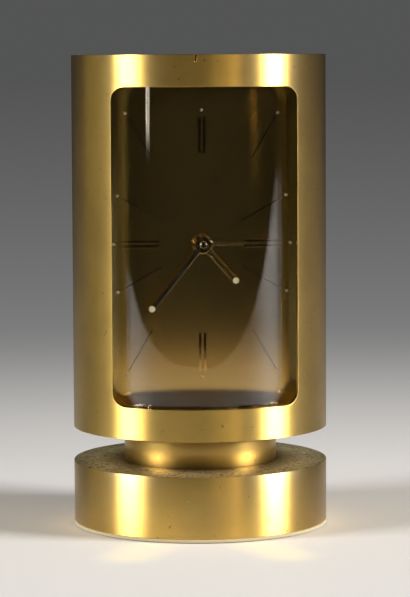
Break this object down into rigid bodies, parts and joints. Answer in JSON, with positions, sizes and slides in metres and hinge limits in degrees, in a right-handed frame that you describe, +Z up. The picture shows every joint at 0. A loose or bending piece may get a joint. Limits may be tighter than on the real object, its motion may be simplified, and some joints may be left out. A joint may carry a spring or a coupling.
{
  "type": "pendulette clock",
  "caption": "Small upright table alarm clock: a brass tube with a tall curved window stands on a neck and a round foot.",
  "frame": {"origin": "middle of the underside of the foot pad", "axes": "+Z up along the tube, the dial faces -Y, +X is to the right of someone who looks at the dial"},
  "size_m": [0.0724, 0.0724, 0.1329],
  "materials": {
    "case_brass": "satin, brushed round the tube, lacquered and slightly aged",
    "base_brass": "satin side, matt top with small tarnish specks",
    "neck_brass": "polished, with small tarnish specks",
    "pad_felt": "short pale felt",
    "clear_glass": "clear, polished",
    "dial_gilt": "fine satin, lacquered",
    "index_brass": "polished",
    "cream_paint": "matt cream",
    "dark_paint": "gloss black",
    "hand_gilt": "polished edges",
    "rear_brass": "satin",
    "steel": "fine ground",
    "movement_brass": "fine ground"
  },
  "bodies": {
    "case": {"case_tube": "case_brass", "top_cap": "case_brass", "case_floor": "movement_brass", "neck_ring": "neck_brass", "base_disc": "base_brass", "foot_pad": "pad_felt", "clamp_bolt": "steel", "clamp_nut": "steel", "tie_rods": "steel", "mounting_bars": "movement_brass", "cover_posts": "movement_brass", "cover_screws": "steel", "movement_screws": "steel", "back_cover": "rear_brass", "window_glass": "clear_glass", "dial": "dial_gilt", "quarter_indices": "index_brass", "hour_dots": "cream_paint", "front_plate": "movement_brass", "back_plate": "movement_brass", "plate_pillars": "movement_brass", "hairspring": "steel"},
    "minute_work": {"centre_arbor": "steel", "cannon_pinion": "movement_brass", "minute_hand": "hand_gilt", "minute_inlay": "dark_paint", "minute_lume": "cream_paint", "hand_cap": "index_brass", "hand_set_knob": "rear_brass"},
    "minute_wheel": {"minute_wheel": "movement_brass"},
    "hour_work": {"hour_wheel": "movement_brass", "hour_hand": "index_brass", "hour_lume": "cream_paint"},
    "alarm_setting": {"alarm_set_arbor": "steel", "alarm_set_knob": "rear_brass"},
    "alarm_pointer": {"alarm_wheel": "movement_brass", "alarm_hand": "hand_gilt"},
    "fourth_wheel": {"fourth_wheel": "movement_brass"},
    "escape_wheel": {"escape_wheel": "movement_brass"},
    "third_wheel": {"third_wheel": "movement_brass"},
    "centre_wheel": {"centre_wheel": "movement_brass"},
    "second_wheel": {"second_wheel": "movement_brass"},
    "going_barrel": {"going_barrel": "movement_brass", "going_mainspring": "steel"},
    "going_winding": {"going_winding_arbor": "steel", "going_key": "rear_brass"},
    "going_click": {"going_click": "steel"},
    "alarm_barrel": {"alarm_barrel": "movement_brass", "alarm_mainspring": "steel"},
    "alarm_winding": {"alarm_winding_arbor": "steel", "alarm_key": "rear_brass"},
    "alarm_click": {"alarm_click": "steel"},
    "pallet_lever": {"pallet_lever": "steel"},
    "balance_wheel": {"balance_wheel": "movement_brass"},
    "hammer_wheel": {"hammer_wheel": "movement_brass"},
    "alarm_hammer": {"alarm_hammer": "steel"},
    "stop_button": {"alarm_stop_button": "rear_brass"}
  },
  "joints": [
    {"name": "minute_hand_turn", "type": "hinge", "parent": "case", "child": "minute_work", "pos_m": [0, 0, 0.08025], "axis": [0, 1, 0], "continuous": true},
    {"name": "minute_wheel_turn", "type": "hinge", "parent": "case", "child": "minute_wheel", "pos_m": [-0.00789, 0, 0.07738], "axis": [0, 1, 0], "continuous": true},
    {"name": "hour_hand_turn", "type": "hinge", "parent": "case", "child": "hour_work", "pos_m": [0, 0, 0.08025], "axis": [0, 1, 0], "continuous": true},
    {"name": "alarm_setting_turn", "type": "hinge", "parent": "case", "child": "alarm_setting", "pos_m": [0.01131, 0, 0.08552], "axis": [0, 1, 0], "continuous": true},
    {"name": "alarm_hand_turn", "type": "hinge", "parent": "case", "child": "alarm_pointer", "pos_m": [0, 0, 0.08025], "axis": [0, 1, 0], "continuous": true},
    {"name": "fourth_wheel_turn", "type": "hinge", "parent": "case", "child": "fourth_wheel", "pos_m": [-0.00597, 0, 0.09223], "axis": [0, 1, 0], "continuous": true},
    {"name": "escape_wheel_turn", "type": "hinge", "parent": "case", "child": "escape_wheel", "pos_m": [0.00063, 0, 0.09463], "axis": [0, 1, 0], "continuous": true},
    {"name": "third_wheel_turn", "type": "hinge", "parent": "case", "child": "third_wheel", "pos_m": [-0.00795, 0, 0.08484], "axis": [0, 1, 0], "continuous": true},
    {"name": "centre_wheel_turn", "type": "hinge", "parent": "case", "child": "centre_wheel", "pos_m": [0, 0, 0.08025], "axis": [0, 1, 0], "continuous": true},
    {"name": "second_wheel_turn", "type": "hinge", "parent": "case", "child": "second_wheel", "pos_m": [-0.00347, 0, 0.0705], "axis": [0, 1, 0], "continuous": true},
    {"name": "going_barrel_turn", "type": "hinge", "parent": "case", "child": "going_barrel", "pos_m": [0.01018, 0, 0.06809], "axis": [0, 1, 0], "continuous": true},
    {"name": "going_winding_turn", "type": "hinge", "parent": "case", "child": "going_winding", "pos_m": [0.01018, 0, 0.06809], "axis": [0, 1, 0], "range_deg": [0, 1800]},
    {"name": "going_click_lift", "type": "hinge", "parent": "case", "child": "going_click", "pos_m": [0.01214, 0, 0.07543], "axis": [0, -1, 0], "range_deg": [0, 8], "stiffness_Nm_per_rad": 0.0001, "springref_deg": -2.86},
    {"name": "alarm_barrel_turn", "type": "hinge", "parent": "case", "child": "alarm_barrel", "pos_m": [-0.01428, 0, 0.06405], "axis": [0, 1, 0], "continuous": true},
    {"name": "alarm_winding_turn", "type": "hinge", "parent": "case", "child": "alarm_winding", "pos_m": [-0.01428, 0, 0.06405], "axis": [0, 1, 0], "range_deg": [0, 1440]},
    {"name": "alarm_click_lift", "type": "hinge", "parent": "case", "child": "alarm_click", "pos_m": [-0.01232, 0, 0.07139], "axis": [0, -1, 0], "range_deg": [0, 8], "stiffness_Nm_per_rad": 0.0001, "springref_deg": -2.86},
    {"name": "pallet_lever_rock", "type": "hinge", "parent": "case", "child": "pallet_lever", "pos_m": [0.00583, 0, 0.09463], "axis": [0, 1, 0], "range_deg": [-5, 5]},
    {"name": "balance_wheel_swing", "type": "hinge", "parent": "case", "child": "balance_wheel", "pos_m": [0.01331, 0, 0.09515], "axis": [0, 1, 0], "range_deg": [-220, 220], "stiffness_Nm_per_rad": 0.000003},
    {"name": "hammer_wheel_turn", "type": "hinge", "parent": "case", "child": "hammer_wheel", "pos_m": [-0.01767, 0, 0.07335], "axis": [0, 1, 0], "continuous": true},
    {"name": "alarm_hammer_strike", "type": "hinge", "parent": "case", "child": "alarm_hammer", "pos_m": [-0.01832, 0, 0.08072], "axis": [0, -1, 0], "range_deg": [-4, 5]},
    {"name": "stop_button_pull", "type": "slide", "parent": "case", "child": "stop_button", "axis": [0, 1, 0], "range_m": [0, 0.0025]}
  ],
  "couplings": [
    {"joint": "minute_wheel_turn", "follows": "minute_hand_turn", "ratio": -0.33333},
    {"joint": "hour_hand_turn", "follows": "minute_hand_turn", "ratio": 0.083333},
    {"joint": "alarm_hand_turn", "follows": "alarm_setting_turn", "ratio": -0.33333},
    {"joint": "escape_wheel_turn", "follows": "fourth_wheel_turn", "ratio": -8},
    {"joint": "third_wheel_turn", "follows": "fourth_wheel_turn", "ratio": -0.13333},
    {"joint": "centre_wheel_turn", "follows": "fourth_wheel_turn", "ratio": 0.016667},
    {"joint": "second_wheel_turn", "follows": "fourth_wheel_turn", "ratio": -0.0041667},
    {"joint": "going_barrel_turn", "follows": "fourth_wheel_turn", "ratio": 0.00069444},
    {"joint": "hammer_wheel_turn", "follows": "alarm_barrel_turn", "ratio": -4}
  ]
}
